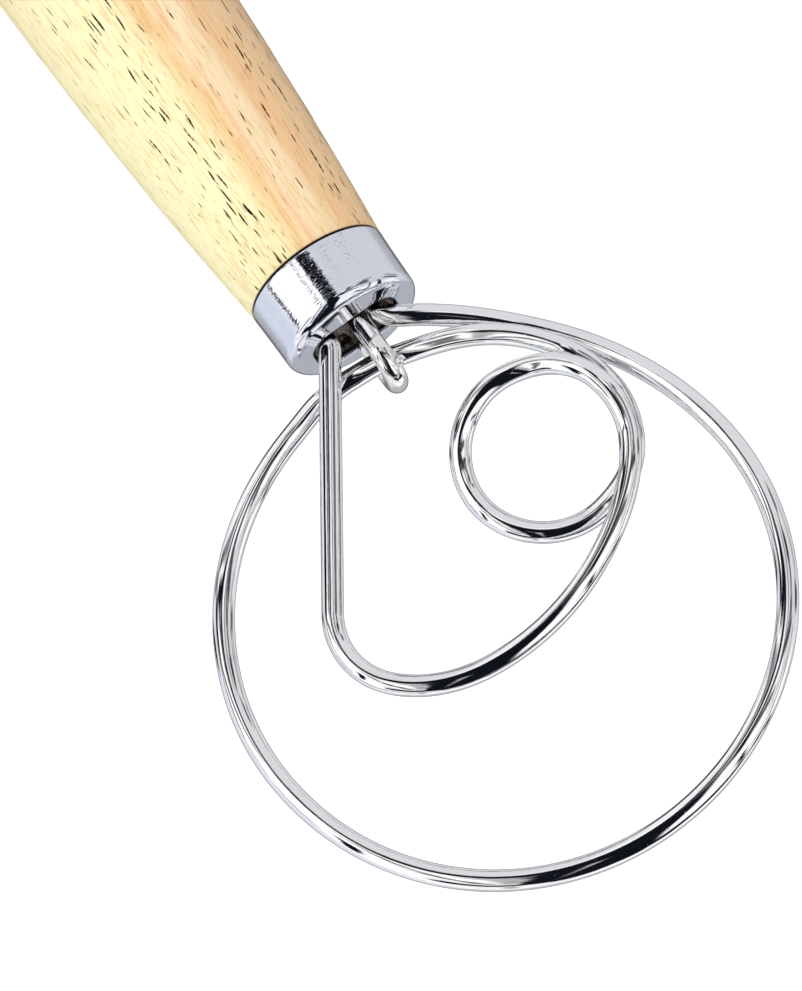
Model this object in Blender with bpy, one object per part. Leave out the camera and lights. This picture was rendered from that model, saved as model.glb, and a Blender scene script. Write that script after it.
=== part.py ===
"""Danish dough whisk: turned wooden handle, polished steel ferrule and one
long steel wire bent into an outer ring, a small inner ring and a D-shaped
loop, with both ends and a small retaining staple potted in the handle.

Frame: origin at the centre of the flat on the butt of the handle, +Z along
the handle towards the wire head. The wire loops lie close to the XZ plane
and are seen from the front, which is -Y. Lengths are millimetres, angles
are degrees; objects are built in metres.
"""

import math
from collections import namedtuple

import bmesh
import bpy
import numpy as np
from mathutils import Vector

MM = 0.001
GAP = 0.3                 # clearance kept between neighbouring pieces

# --------------------------------------------------------------- ferrule
FERRULE_LEN = 10.9        # visible skirt length
FERRULE_R = 11.8          # skirt radius at the open end
FERRULE_TOP_R = 11.6      # skirt radius under the rolled edge
FERRULE_WALL = 0.6
FERRULE_SIDES = 72
ROLL_R = 1.8              # rolled edge between skirt and end plate
ROLL_INNER_STEPS = 4
ROLL_OUTER_STEPS = 8
MOUTH_HALF_X = 7.6        # half width of the rounded mouth in the end plate
MOUTH_HALF_Y = 5.4
MOUTH_CORNER_R = 4.0
MOUTH_CORNER_STEPS = 7
MOUTH_Y = 1.1             # the mouth is pierced slightly off centre
MOUTH_CUT_REACH = 3.0     # the cutter's reach above and below the plate

# ---------------------------------------------------------------- handle
HANDLE_LEN = 222.0        # butt flat to the shoulder under the ferrule
HANDLE_SIDES = 48
SHOULDER_R = FERRULE_R    # the wood is flush with the ferrule
SHOULDER_EASE = 0.4       # eased edge of the shoulder
GRIP_R = 15.9             # thickest radius of the grip
GRIP_AT = 88.0            # distance of that radius below the shoulder
GRIP_STEPS = 25
TAIL_R = 12.6             # grip radius where the butt rounding begins
BUTT_ROUND = 9.0          # height of the rounded butt
BUTT_FLAT_R = 6.0         # radius of the small flat on the butt
BUTT_STEPS = 9
TENON_R = 10.7            # wood inside the ferrule
TENON_EASE = 0.6          # chamfer on the end of the tenon
BORE_R = 8.0              # potting bore
BORE_DEPTH = 42.0         # depth below the tenon face

PLATE_Z = HANDLE_LEN + GAP + FERRULE_LEN      # outer face of the end plate
TENON_Z = PLATE_Z - FERRULE_WALL - GAP        # end face of the tenon
BORE_FLOOR_Z = TENON_Z - BORE_DEPTH

# --------------------------------------------------------------- potting
POT_RECESS = 2.0          # potting level below the end plate
POT_SIDES = 48
SOCKET_SIDES = 24         # sides of the hole cut for each wire end
SOCKET_EXTRA = 0.2        # added to GAP below each wire end
SOCKET_ABOVE = 5.0        # the cutter's reach above the end plate

# ------------------------------------------------------------------ wire
# Heights in this section and the next are measured from the end plate.
# A heading is measured in the XZ plane from +Z towards -X.
WIRE_R = 3.5 / 2.0
WIRE_TIP = 0.35           # end chamfer of the wire and the staple
WIRE_SIDES = 16
LINE_SPACING = 6.0        # longest step along a straight stretch
TURN_STEP = 7.0           # largest turn per step on rings and blends

LEG_X = 4.3               # leg A stands at -LEG_X, leg B at +LEG_X
LEG_DEPTH = 40.0          # wire ends below the end plate
EXIT_BEND_R = 6.0         # centre-line radius of the bends in the mouth
LEG_A_LEAN = 56.5         # heading of leg A where it leaves the mouth
LEG_A_BEND_Z = -2.7       # where leg A starts to lean
LEG_A_BEND_STEPS = 7
LEG_B_LEAN = 32.6         # lean of the straight side of the D, towards +X
LEG_B_BEND_STEPS = 5
RISE_SPLIT = 0.4          # share of the rise from leg A where its y peaks

# Centre, half width, half length, lean of the long axis from +Z towards
# -X, and the largest turn per step.
Ring = namedtuple('Ring', 'x z half_width half_length lean step')


def circle(x, z, radius, step=TURN_STEP):
    return Ring(x, z, radius, radius, 0.0, step)


OUTER = Ring(6.2, 52.3, 43.0, 44.7, 20.0, TURN_STEP)  # slightly oval
RETURN = circle(4.5, 50.6, 45.0)      # rounder way back to the mouth
NECK = circle(8.3, 41.6, 36.2, 4.0)   # pass across the mouth, in the staple
SWEEP = circle(0.4, 36.3, 28.0)       # sweep towards the small ring
REAR = circle(-12.1, 32.8, 15.0)      # first pass up its -X side
SMALL = circle(-12.7, 34.5, 12.9)     # small inner ring
FRONT = circle(-11.3, 35.3, 14.9)     # second pass, in front of the first
FAR_SIDE = circle(7.8, 21.2, 38.5)    # flat far side of the D loop
CORNER = circle(17.6, 43.9, 12.5)     # tight corner of the D loop

# Ring, heading there, y there. The wire runs round the ring between two
# rows of the same ring and blends across between different rings. The
# changes of y take it in front of or behind itself where it crosses.
ROUTE = [
    (OUTER, 8.0, 1.3), (OUTER, -75.0, 0.1), (OUTER, -150.0, 0.4),
    (RETURN, -175.0, 0.6), (RETURN, -215.0, 1.0), (RETURN, -254.0, 1.9),
    (NECK, -268.0, 2.1), (NECK, -275.0, 1.7), (NECK, -287.0, 0.7),
    (SWEEP, -304.0, -0.9), (SWEEP, -330.0, -0.9),
    (REAR, -355.0, 1.3), (REAR, -402.0, 2.8),
    (SMALL, -440.0, 2.0), (SMALL, -540.0, -0.2), (SMALL, -640.0, -2.4),
    (FRONT, -702.0, -3.8), (FRONT, -745.0, -2.6),
    (FAR_SIDE, -782.0, -2.3), (FAR_SIDE, -818.0, -2.0),
    (CORNER, -860.0, -2.0), (CORNER, -900.0 - LEG_B_LEAN, -2.0),
]
LEG_A_Y = 0.0
EXIT_A_Y = 0.3            # where leg A leaves its bend
RISE_Y = 2.5              # peak on the way to the outer ring
D_SIDE_Y = -2.0           # straight side of the D
LEG_B_Y = -1.6

# --------------------------------------------------------------- staple
STAPLE_FRONT_X = -1.1     # front leg
STAPLE_BACK_X = -0.3      # back leg
STAPLE_R = 3.85           # centre-line radius round the held wire
STAPLE_PINCH = 9.0        # inward lean of both legs, going down
STAPLE_EASE_R = 8.0       # bend where the legs turn upright in the mouth
STAPLE_HALF = 2.9         # half spacing of the upright legs
STAPLE_DEPTH = 30.0       # ends below the end plate
STAPLE_SIDES = 20
STAPLE_BOW_STEPS = 20
STAPLE_EASE_STEPS = 2
HELD_Z = (4.0, 10.0)      # heights between which the held wire passes


# ------------------------------------------------------------ plane curves
def smooth(share):
    """Ease from 0 to 1 with level ends."""
    return share * share * (3.0 - 2.0 * share)


def arc(centre, radius, start, end, steps):
    """Points on a circle, angles counter-clockwise from the first axis."""
    points = []
    for i in range(steps + 1):
        angle = math.radians(start + (end - start) * i / steps)
        points.append(np.array([centre[0] + radius * math.cos(angle),
                                centre[1] + radius * math.sin(angle)]))
    return points


def direction(heading):
    """Unit vector (x, z) of a heading."""
    angle = math.radians(heading)
    return np.array([-math.sin(angle), math.cos(angle)])


def on_ring(ring, heading):
    """Point of a ring where a wire with this heading runs round it."""
    lean = math.radians(ring.lean)
    angle = math.radians(heading) - lean
    across = ring.half_width * math.cos(angle)
    along = ring.half_length * math.sin(angle)
    size = math.hypot(across, along)
    across *= -ring.half_width / size
    along *= -ring.half_length / size
    return np.array([ring.x + across * math.cos(lean) - along * math.sin(lean),
                     ring.z + across * math.sin(lean) + along * math.cos(lean)])


def round_ring(ring, start, end):
    """Points round a ring between two headings."""
    steps = max(2, int(math.ceil(abs(end - start) / ring.step)))
    return [on_ring(ring, start + (end - start) * i / steps)
            for i in range(steps + 1)]


def line(start, end):
    steps = max(1, int(math.ceil(np.linalg.norm(end - start) / LINE_SPACING)))
    return [start + (end - start) * i / steps for i in range(steps + 1)]


def blend(start, start_heading, end, end_heading):
    """Cubic between two points with given headings, near a circular arc."""
    turn = math.radians(abs(end_heading - start_heading))
    chord = np.linalg.norm(end - start)
    reach = chord * (2.0 / 3.0) / (1.0 + math.cos(turn / 2.0))
    start_pull = start + direction(start_heading) * reach
    end_pull = end - direction(end_heading) * reach
    steps = max(4, int(math.ceil(math.degrees(turn) / TURN_STEP)))
    points = []
    for i in range(steps + 1):
        t = i / steps
        points.append(start * (1 - t) ** 3 + start_pull * 3 * t * (1 - t) ** 2
                      + end_pull * 3 * t * t * (1 - t) + end * t ** 3)
    return points


# -------------------------------------------------------------- wire paths
# A stretch is a list of (x, z) points and the y it ends with.
def leg_a_stretches():
    """Straight out of the potting, leaning over, then up to the outer ring."""
    foot = np.array([-LEG_X, -LEG_DEPTH])
    bend_start = np.array([-LEG_X, LEG_A_BEND_Z])
    bend = arc((-LEG_X - EXIT_BEND_R, LEG_A_BEND_Z), EXIT_BEND_R,
               0.0, LEG_A_LEAN, LEG_A_BEND_STEPS)
    ring, heading, ring_y = ROUTE[0]
    rise = blend(bend[-1], LEG_A_LEAN, on_ring(ring, heading), heading)
    peak = round(RISE_SPLIT * (len(rise) - 1))
    return [(line(foot, bend_start), LEG_A_Y), (bend, EXIT_A_Y),
            (rise[:peak + 1], RISE_Y), (rise[peak:], ring_y)]


def route_stretches():
    """Round the rings, from leg A to the last corner of the D."""
    stretches = []
    for (ring, heading, _), (next_ring, next_heading, y) in zip(ROUTE, ROUTE[1:]):
        if ring is next_ring:
            points = round_ring(ring, heading, next_heading)
        else:
            points = blend(on_ring(ring, heading), heading,
                           on_ring(next_ring, next_heading), next_heading)
        stretches.append((points, y))
    return stretches


def leg_b_stretches():
    """Straight side of the D, turned upright in the mouth, then the leg."""
    lean = math.radians(LEG_B_LEAN)
    corner_end = on_ring(CORNER, -180.0 - LEG_B_LEAN)
    # where the side and the upright leg would meet without a bend
    vertex = np.array([LEG_X, corner_end[1]
                       - (corner_end[0] - LEG_X) / math.tan(lean)])
    tangent_len = EXIT_BEND_R * math.tan(lean / 2.0)
    side_end = vertex + np.array([math.sin(lean), math.cos(lean)]) * tangent_len
    bend = arc(vertex + np.array([EXIT_BEND_R, -tangent_len]), EXIT_BEND_R,
               180.0 - LEG_B_LEAN, 180.0, LEG_B_BEND_STEPS)
    foot = np.array([LEG_X, -LEG_DEPTH])
    return [(line(corner_end, side_end), D_SIDE_Y), (bend, LEG_B_Y),
            (line(bend[-1], foot), LEG_B_Y)]


def whisk_path():
    """Centre line of the head wire: x, y, height above the end plate."""
    path = []
    start_y = LEG_A_Y
    for points, end_y in leg_a_stretches() + route_stretches() + leg_b_stretches():
        points = np.array(points)
        steps = np.linalg.norm(np.diff(points, axis=0), axis=1)
        run = np.r_[0.0, np.cumsum(steps)]
        # each stretch starts on the last point of the one before
        first = 1 if path else 0
        for (x, z), distance in zip(points[first:], run[first:]):
            y = start_y + (end_y - start_y) * smooth(distance / run[-1])
            path.append((x, y, z))
        start_y = end_y
    return np.array(path)


def held_point(wire):
    """Point where the wire passes through the staple."""
    mid_x = (STAPLE_FRONT_X + STAPLE_BACK_X) / 2.0
    for here, after in zip(wire, wire[1:]):
        crosses = (here[0] - mid_x) * (after[0] - mid_x) <= 0.0
        if crosses and HELD_Z[0] < here[2] < HELD_Z[1]:
            return here + (after - here) * (mid_x - here[0]) / (after[0] - here[0])


def staple_path(wire):
    """U-shaped staple round the head wire where it passes the mouth."""
    held = held_point(wire)
    pinch = math.radians(STAPLE_PINCH)
    # side view of one leg, y measured out from the staple's own axis
    top_y = STAPLE_R * math.cos(pinch)
    top_z = held[2] - STAPLE_R * math.sin(pinch)
    ease_y = STAPLE_EASE_R * (1.0 - math.cos(pinch))
    slant = (top_y - ease_y - STAPLE_HALF) / math.sin(pinch)
    slant_z = top_z - slant * math.cos(pinch)
    upright_z = slant_z - STAPLE_EASE_R * math.sin(pinch)
    leg = [(STAPLE_HALF, -STAPLE_DEPTH)]
    leg += arc((STAPLE_HALF + STAPLE_EASE_R, upright_z), STAPLE_EASE_R,
               180.0, 180.0 - STAPLE_PINCH, STAPLE_EASE_STEPS)
    bow = arc((0.0, held[2]), STAPLE_R,
              180.0 + STAPLE_PINCH, -STAPLE_PINCH, STAPLE_BOW_STEPS)
    side_view = [(-y, z) for y, z in leg] + bow + leg[::-1]
    path = []
    for y, z in side_view:
        share = smooth((y / STAPLE_R + 1.0) / 2.0)
        x = STAPLE_FRONT_X + (STAPLE_BACK_X - STAPLE_FRONT_X) * share
        path.append((x, held[1] + y, z))
    return np.array(path)


# ------------------------------------------------------------ solid tools
def add_object(name, bm):
    """Turn a closed bmesh into an object of the scene."""
    bmesh.ops.recalc_face_normals(bm, faces=bm.faces[:])
    mesh = bpy.data.meshes.new(name)
    bm.to_mesh(mesh)
    bm.free()
    obj = bpy.data.objects.new(name, mesh)
    bpy.context.scene.collection.objects.link(obj)
    return obj


def shade(obj, material, sharp_angle):
    obj.data.shade_smooth()
    obj.data.set_sharp_from_angle(angle=math.radians(sharp_angle))
    obj.data.materials.append(material)


def join_loops(bm, loops):
    """Quads between successive closed loops of equal length."""
    for low, high in zip(loops, loops[1:]):
        for i in range(len(low)):
            j = (i + 1) % len(low)
            bm.faces.new((low[i], low[j], high[j], high[i]))


def cap_ends(bm, loops):
    bm.faces.new(list(reversed(loops[0])))
    bm.faces.new(loops[-1])


def turned(name, profile, sides, material):
    """Solid of revolution about Z from (radius, z) points.

    The profile starts and ends on the axis.
    """
    bm = bmesh.new()
    loops = []
    for radius, z in profile[1:-1]:
        loop = []
        for i in range(sides):
            angle = 2 * math.pi * i / sides
            loop.append(bm.verts.new((radius * MM * math.cos(angle),
                                      radius * MM * math.sin(angle), z * MM)))
        loops.append(loop)
    join_loops(bm, loops)
    start = bm.verts.new((0.0, 0.0, profile[0][1] * MM))
    end = bm.verts.new((0.0, 0.0, profile[-1][1] * MM))
    for i in range(sides):
        j = (i + 1) % sides
        bm.faces.new((start, loops[0][j], loops[0][i]))
        bm.faces.new((end, loops[-1][i], loops[-1][j]))
    obj = add_object(name, bm)
    shade(obj, material, sharp_angle=35.0)
    return obj


def swept(name, path, sides, material):
    """Round wire along a centre line, with small chamfers at both ends."""
    points = [Vector(point) * MM for point in path]
    last = len(points) - 1
    tangents = [(points[min(i + 1, last)] - points[max(i - 1, 0)]).normalized()
                for i in range(last + 1)]
    # carry one side vector along the path, so that the bar does not twist
    side = tangents[0].orthogonal().normalized()
    frames = []
    for i, tangent in enumerate(tangents):
        if i:
            side = tangents[i - 1].rotation_difference(tangent) @ side
            side = (side - tangent * side.dot(tangent)).normalized()
        frames.append((side.copy(), tangent.cross(side)))
    tip_r = WIRE_R - WIRE_TIP
    stations = [(points[0], frames[0], tip_r),
                (points[0] + tangents[0] * WIRE_TIP * MM, frames[0], WIRE_R)]
    stations += [(point, frame, WIRE_R)
                 for point, frame in zip(points[1:-1], frames[1:-1])]
    stations += [(points[-1] - tangents[-1] * WIRE_TIP * MM, frames[-1], WIRE_R),
                 (points[-1], frames[-1], tip_r)]
    bm = bmesh.new()
    loops = []
    for centre, (side, across), radius in stations:
        loop = []
        for i in range(sides):
            angle = 2.0 * math.pi * i / sides
            out = side * math.cos(angle) + across * math.sin(angle)
            loop.append(bm.verts.new(centre + out * radius * MM))
        loops.append(loop)
    join_loops(bm, loops)
    cap_ends(bm, loops)
    shade(add_object(name, bm), material, sharp_angle=50.0)


def pierce(obj, cutter_name, outline, bottom_z, top_z):
    """Cut an upright hole with the given (x, y) outline."""
    bm = bmesh.new()
    loops = [[bm.verts.new((x * MM, y * MM, z * MM)) for x, y in outline]
             for z in (bottom_z, top_z)]
    join_loops(bm, loops)
    cap_ends(bm, loops)
    cutter = add_object(cutter_name, bm)
    cutter.hide_render = True
    cutter.display_type = 'WIRE'
    boolean = obj.modifiers.new(cutter_name, 'BOOLEAN')
    boolean.operation = 'DIFFERENCE'
    boolean.solver = 'EXACT'
    boolean.object = cutter


def make_material(name, colour, roughness, metallic):
    material = bpy.data.materials.new(name)
    material.use_nodes = True
    inputs = material.node_tree.nodes.get('Principled BSDF').inputs
    inputs['Base Color'].default_value = (*colour, 1.0)
    inputs['Roughness'].default_value = roughness
    inputs['Metallic'].default_value = metallic
    return material


# ----------------------------------------------------------------- pieces
def grip_radius(below):
    """Wood radius at a distance below the shoulder."""
    if below <= GRIP_AT:
        return GRIP_R - (GRIP_R - SHOULDER_R) * (1.0 - below / GRIP_AT) ** 2
    span = HANDLE_LEN - BUTT_ROUND - GRIP_AT
    return GRIP_R - (GRIP_R - TAIL_R) * smooth((below - GRIP_AT) / span)


def build_handle(material):
    profile = [(0.0, 0.0), (BUTT_FLAT_R, 0.0)]
    for i in range(1, BUTT_STEPS + 1):
        angle = math.radians(90.0 * i / BUTT_STEPS)
        profile.append((BUTT_FLAT_R + (TAIL_R - BUTT_FLAT_R) * math.sin(angle),
                        BUTT_ROUND * (1.0 - math.cos(angle))))
    grip_len = HANDLE_LEN - SHOULDER_EASE - BUTT_ROUND
    for i in range(1, GRIP_STEPS + 1):
        z = BUTT_ROUND + grip_len * i / GRIP_STEPS
        profile.append((grip_radius(HANDLE_LEN - z), z))
    profile += [
        (SHOULDER_R - SHOULDER_EASE, HANDLE_LEN),
        (TENON_R, HANDLE_LEN),
        (TENON_R, TENON_Z - TENON_EASE),
        (TENON_R - TENON_EASE, TENON_Z),
        (BORE_R, TENON_Z),
        (BORE_R, BORE_FLOOR_Z),
        (0.0, BORE_FLOOR_Z),
    ]
    turned('handle', profile, HANDLE_SIDES, material)


def mouth_outline():
    offset_x = MOUTH_HALF_X - MOUTH_CORNER_R
    offset_y = MOUTH_HALF_Y - MOUTH_CORNER_R
    outline = []
    for sign_x, sign_y, start in ((1, 1, 0.0), (-1, 1, 90.0),
                                  (-1, -1, 180.0), (1, -1, 270.0)):
        centre = (sign_x * offset_x, MOUTH_Y + sign_y * offset_y)
        outline += arc(centre, MOUTH_CORNER_R, start, start + 90.0,
                       MOUTH_CORNER_STEPS)
    return outline


def build_ferrule(material):
    """Thin cap with a rolled edge and the mouth in its end plate."""
    skirt_z = HANDLE_LEN + GAP
    roll_centre = (FERRULE_TOP_R - ROLL_R, PLATE_Z - ROLL_R)
    profile = [(0.0, PLATE_Z - FERRULE_WALL)]
    profile += arc(roll_centre, ROLL_R - FERRULE_WALL, 90.0, 0.0, ROLL_INNER_STEPS)
    profile += [(FERRULE_R - FERRULE_WALL, skirt_z), (FERRULE_R, skirt_z)]
    profile += arc(roll_centre, ROLL_R, 0.0, 90.0, ROLL_OUTER_STEPS)
    profile.append((0.0, PLATE_Z))
    ferrule = turned('ferrule', profile, FERRULE_SIDES, material)
    pierce(ferrule, 'mouth_cutter', mouth_outline(),
           PLATE_Z - MOUTH_CUT_REACH, PLATE_Z + MOUTH_CUT_REACH)


def build_potting(material, wire, staple):
    """Resin plug in the bore, with a clear socket round each wire end."""
    radius = BORE_R - GAP
    floor_z = BORE_FLOOR_Z + GAP
    top_z = PLATE_Z - POT_RECESS
    potting = turned('potting', [(0.0, floor_z), (radius, floor_z),
                                 (radius, top_z), (0.0, top_z)],
                     POT_SIDES, material)
    for label, end, depth in (('leg_a', wire[0], LEG_DEPTH),
                              ('leg_b', wire[-1], LEG_DEPTH),
                              ('staple_front', staple[0], STAPLE_DEPTH),
                              ('staple_back', staple[-1], STAPLE_DEPTH)):
        outline = arc(end[:2], WIRE_R + GAP, 0.0, 360.0, SOCKET_SIDES)[:-1]
        pierce(potting, label + '_cutter', outline,
               PLATE_Z - depth - GAP - SOCKET_EXTRA, PLATE_Z + SOCKET_ABOVE)


for old in list(bpy.data.objects):
    bpy.data.objects.remove(old, do_unlink=True)

wood = make_material('pale_wood', colour=(0.86, 0.66, 0.38),
                     roughness=0.5, metallic=0.0)
plated = make_material('polished_steel', colour=(0.80, 0.82, 0.85),
                       roughness=0.12, metallic=1.0)
wire_steel = make_material('bright_wire', colour=(0.78, 0.79, 0.80),
                           roughness=0.18, metallic=1.0)
staple_steel = make_material('bright_staple', colour=(0.76, 0.77, 0.79),
                             roughness=0.18, metallic=1.0)
resin = make_material('potting_resin', colour=(0.12, 0.055, 0.025),
                      roughness=0.25, metallic=0.0)

build_handle(wood)
build_ferrule(plated)
wire = whisk_path()
staple = staple_path(wire)
lift = np.array([0.0, 0.0, PLATE_Z])
swept('whisk_wire', wire + lift, WIRE_SIDES, wire_steel)
swept('retaining_staple', staple + lift, STAPLE_SIDES, staple_steel)
build_potting(resin, wire, staple)
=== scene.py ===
"""Looks of a Danish dough whisk: fine meshes, materials, studio and camera.

The tool stands on its butt at the origin and points up +Z. From the bottom up it is
a turned wooden handle, a steel ferrule cap and a whisk head bent from one wire. The
head lies nearly flat in the XZ plane, its two legs and a small staple potted in the
bore of the handle. The eye is on the -Y side, which is called the front.
Shapes are worked out in millimetres, the scene is in metres.
"""

import math
import bpy
import numpy as np
from mathutils import Matrix, Vector


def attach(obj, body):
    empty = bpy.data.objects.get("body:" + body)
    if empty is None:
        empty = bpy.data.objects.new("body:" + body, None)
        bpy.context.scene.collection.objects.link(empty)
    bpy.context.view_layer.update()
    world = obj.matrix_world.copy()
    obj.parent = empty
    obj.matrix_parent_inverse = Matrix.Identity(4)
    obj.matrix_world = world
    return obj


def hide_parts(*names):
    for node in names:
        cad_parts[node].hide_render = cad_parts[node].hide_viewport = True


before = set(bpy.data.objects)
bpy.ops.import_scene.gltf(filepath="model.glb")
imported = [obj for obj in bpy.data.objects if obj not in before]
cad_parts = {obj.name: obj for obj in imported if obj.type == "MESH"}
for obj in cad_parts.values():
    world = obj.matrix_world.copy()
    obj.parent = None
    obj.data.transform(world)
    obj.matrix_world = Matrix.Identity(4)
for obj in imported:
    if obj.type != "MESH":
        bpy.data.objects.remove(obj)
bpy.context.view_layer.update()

MM = 0.001
GAP = 0.3                # clearance between neighbouring pieces

# ------------------------------------------------------------ handle, mm
HANDLE_LEN = 222.0
NECK_R = 11.8
GRIP_R = 15.9
GRIP_AT = 88.0           # widest place, measured down from the neck
TAIL_R = 12.6
BUTT_ROUND = 9.0         # height of the rounded butt
BUTT_FLAT_R = 6.0
SHOULDER_EASE = 0.4      # rounding of the shoulder under the cap
TENON_R = 10.7
TENON_CHAMFER = 0.6
BORE_R = 8.0
BORE_DEPTH = 42.0
BORE_EASE = 0.1          # broken edge at the top of the bore

# ----------------------------------------------------------- ferrule, mm
FERRULE_LEN = 10.9
FERRULE_R = NECK_R
FERRULE_TOP_R = 11.6
FERRULE_WALL = 0.6
FERRULE_WAIST = 0.035    # how far the press draws the skirt in
EDGE_HEIGHT = 0.12       # height of the rounded free edge
ROLL_R = 1.8
MOUTH_HALF_X = 7.6
MOUTH_HALF_Y = 5.4
MOUTH_CORNER = 4.0
MOUTH_Y = 1.1
PLATE_Z = HANDLE_LEN + GAP + FERRULE_LEN
TENON_FACE = PLATE_Z - FERRULE_WALL - GAP
BORE_FLOOR = TENON_FACE - BORE_DEPTH

# Edge of the mouth: (growth of the outline, depth below the plate's face it touches)
MOUTH_UNDER_RIM = ((0.0, -0.15), (0.04, -0.04), (0.15, 0.0))
MOUTH_TOP_RIM = ((0.45, 0.0), (0.28, 0.03), (0.14, 0.09), (0.05, 0.18), (0.0, 0.30))

# ----------------------------------------- head wire, mm and degrees
# Heights z of the head wire and the staple are measured from the end plate.
WIRE_D = 3.5
WIRE_SIDES = 40
LEG_DEPTH = 40.0
LEG_X = 4.3              # leg A stands at -LEG_X, leg B at +LEG_X
EXIT_BEND_R = 6.0
EXIT_A = 56.5            # heading after the bend of leg A
EXIT_A_Z = -2.7          # where that bend begins
LEAN_B = 32.6            # lean of the straight side above leg B
TURN_STEP = 1.4          # degrees of turn per point
LINE_STEP = 1.5          # length per point on straights

# Ovals the wire follows: centre x, centre z, half width, half height, lean
OUTER = (6.2, 52.3, 43.0, 44.7, 20.0)
RETURN = (4.5, 50.6, 45.0, 45.0, 0.0)
NECK = (8.3, 41.6, 36.2, 36.2, 0.0)
SWEEP = (0.4, 36.3, 28.0, 28.0, 0.0)
REAR = (-12.1, 32.8, 15.0, 15.0, 0.0)
SMALL = (-12.7, 34.5, 12.9, 12.9, 0.0)
FRONT = (-11.3, 35.3, 14.9, 14.9, 0.0)
BELLY = (7.8, 21.2, 38.5, 38.5, 0.0)
CORNER = (17.6, 43.9, 12.5, 12.5, 0.0)

# Stations of the coil: oval, heading, y. Headings are degrees from +z towards -x and
# fall as the wire winds clockwise seen from the front. Between two stations on one
# oval the wire follows it, between two ovals it blends over.
COIL = (
    (OUTER, 8.0, 1.3), (OUTER, -75.0, 0.1), (OUTER, -150.0, 0.4),
    (RETURN, -175.0, 0.6), (RETURN, -215.0, 1.0), (RETURN, -254.0, 1.9),
    (NECK, -268.0, 2.1), (NECK, -275.0, 1.7), (NECK, -287.0, 0.7),
    (SWEEP, -304.0, -0.9), (SWEEP, -330.0, -0.9),
    (REAR, -355.0, 1.3), (REAR, -402.0, 2.8),
    (SMALL, -440.0, 2.0), (SMALL, -540.0, -0.2), (SMALL, -640.0, -2.4),
    (FRONT, -702.0, -3.8), (FRONT, -745.0, -2.6),
    (BELLY, -782.0, -2.3), (BELLY, -818.0, -2.0),
    (CORNER, -860.0, -2.0), (CORNER, -900.0 - LEAN_B, -2.0),
)
SHOULDER_SHARE = 0.4     # part of the way from leg A to the coil with its own y
EXIT_A_Y = 0.3
SHOULDER_Y = 2.5
SIDE_Y = -2.0
LEG_B_Y = -1.6

# --------------------------------------------------------- staple, mm
STAPLE_X = (-1.1, -0.3)  # x of the -y leg and of the +y leg
STAPLE_R = 3.85
STAPLE_PINCH = 9.0       # degrees the legs close in under the bow
STAPLE_EASE_R = 8.0
STAPLE_HALF = 2.9
STAPLE_DEPTH = 30.0
HELD_Z = (4.0, 10.0)     # the staple holds the wire where it crosses at this height


def smooth(t):
    return t * t * (3.0 - 2.0 * t)


def quarter_turn(steps, first=1):
    """Angles from 0 to 90 degrees, in radians."""
    return [math.radians(90.0 * i / steps) for i in range(first, steps + 1)]


# --------------------------------------- centre lines, plan points are (x, z)
def heading(angle):
    t = math.radians(angle)
    return np.array([-math.sin(t), math.cos(t)])


def on_oval(oval, angle):
    """Point of an oval where the clockwise heading is the given angle."""
    centre_x, centre_z, half_w, half_h, lean = oval
    lean = math.radians(lean)
    t = math.radians(angle) - lean
    a, b = half_w * math.cos(t), half_h * math.sin(t)
    size = math.hypot(a, b)
    u, w = -half_w * a / size, -half_h * b / size
    return np.array([centre_x + u * math.cos(lean) - w * math.sin(lean),
                     centre_z + u * math.sin(lean) + w * math.cos(lean)])


def arc(oval, start, end):
    n = math.ceil(abs(end - start) / TURN_STEP)
    return [on_oval(oval, start + (end - start) * i / n) for i in range(n + 1)]


def line(p, q):
    n = math.ceil(np.linalg.norm(q - p) / LINE_STEP)
    return [p + (q - p) * i / n for i in range(n + 1)]


def blend(p, start, q, end):
    """Cubic curve from p to q that leaves and arrives at the given headings."""
    turn = math.radians(abs(end - start))
    chord = np.linalg.norm(q - p)
    reach = chord * (2.0 / 3.0) / (1.0 + math.cos(turn / 2.0))
    a = p + heading(start) * reach
    b = q - heading(end) * reach
    n = max(20, math.ceil(math.degrees(turn) / TURN_STEP))
    out = []
    for i in range(n + 1):
        t = i / n
        out.append(p * (1 - t) ** 3 + a * 3 * t * (1 - t) ** 2
                   + b * 3 * t * t * (1 - t) + q * t ** 3)
    return out


def leg_a_stretches():
    """Leg A, its bend towards -x and the shoulder up to the coil."""
    foot = np.array([-LEG_X, -LEG_DEPTH])
    top = np.array([-LEG_X, EXIT_A_Z])
    bend = []
    for i in range(29):
        t = math.radians(EXIT_A * i / 28.0)
        bend.append(top + EXIT_BEND_R * np.array([math.cos(t) - 1.0, math.sin(t)]))
    oval, angle, y = COIL[0]
    shoulder = blend(bend[-1], EXIT_A, on_oval(oval, angle), angle)
    k = round(SHOULDER_SHARE * (len(shoulder) - 1))
    return [(line(foot, top), 0.0), (bend, EXIT_A_Y),
            (shoulder[:k + 1], SHOULDER_Y), (shoulder[k:], y)]


def coil_stretches():
    out = []
    for (oval, start, _), (following, end, y) in zip(COIL, COIL[1:]):
        if following == oval:
            plan = arc(oval, start, end)
        else:
            plan = blend(on_oval(oval, start), start, on_oval(following, end), end)
        out.append((plan, y))
    return out


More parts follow.
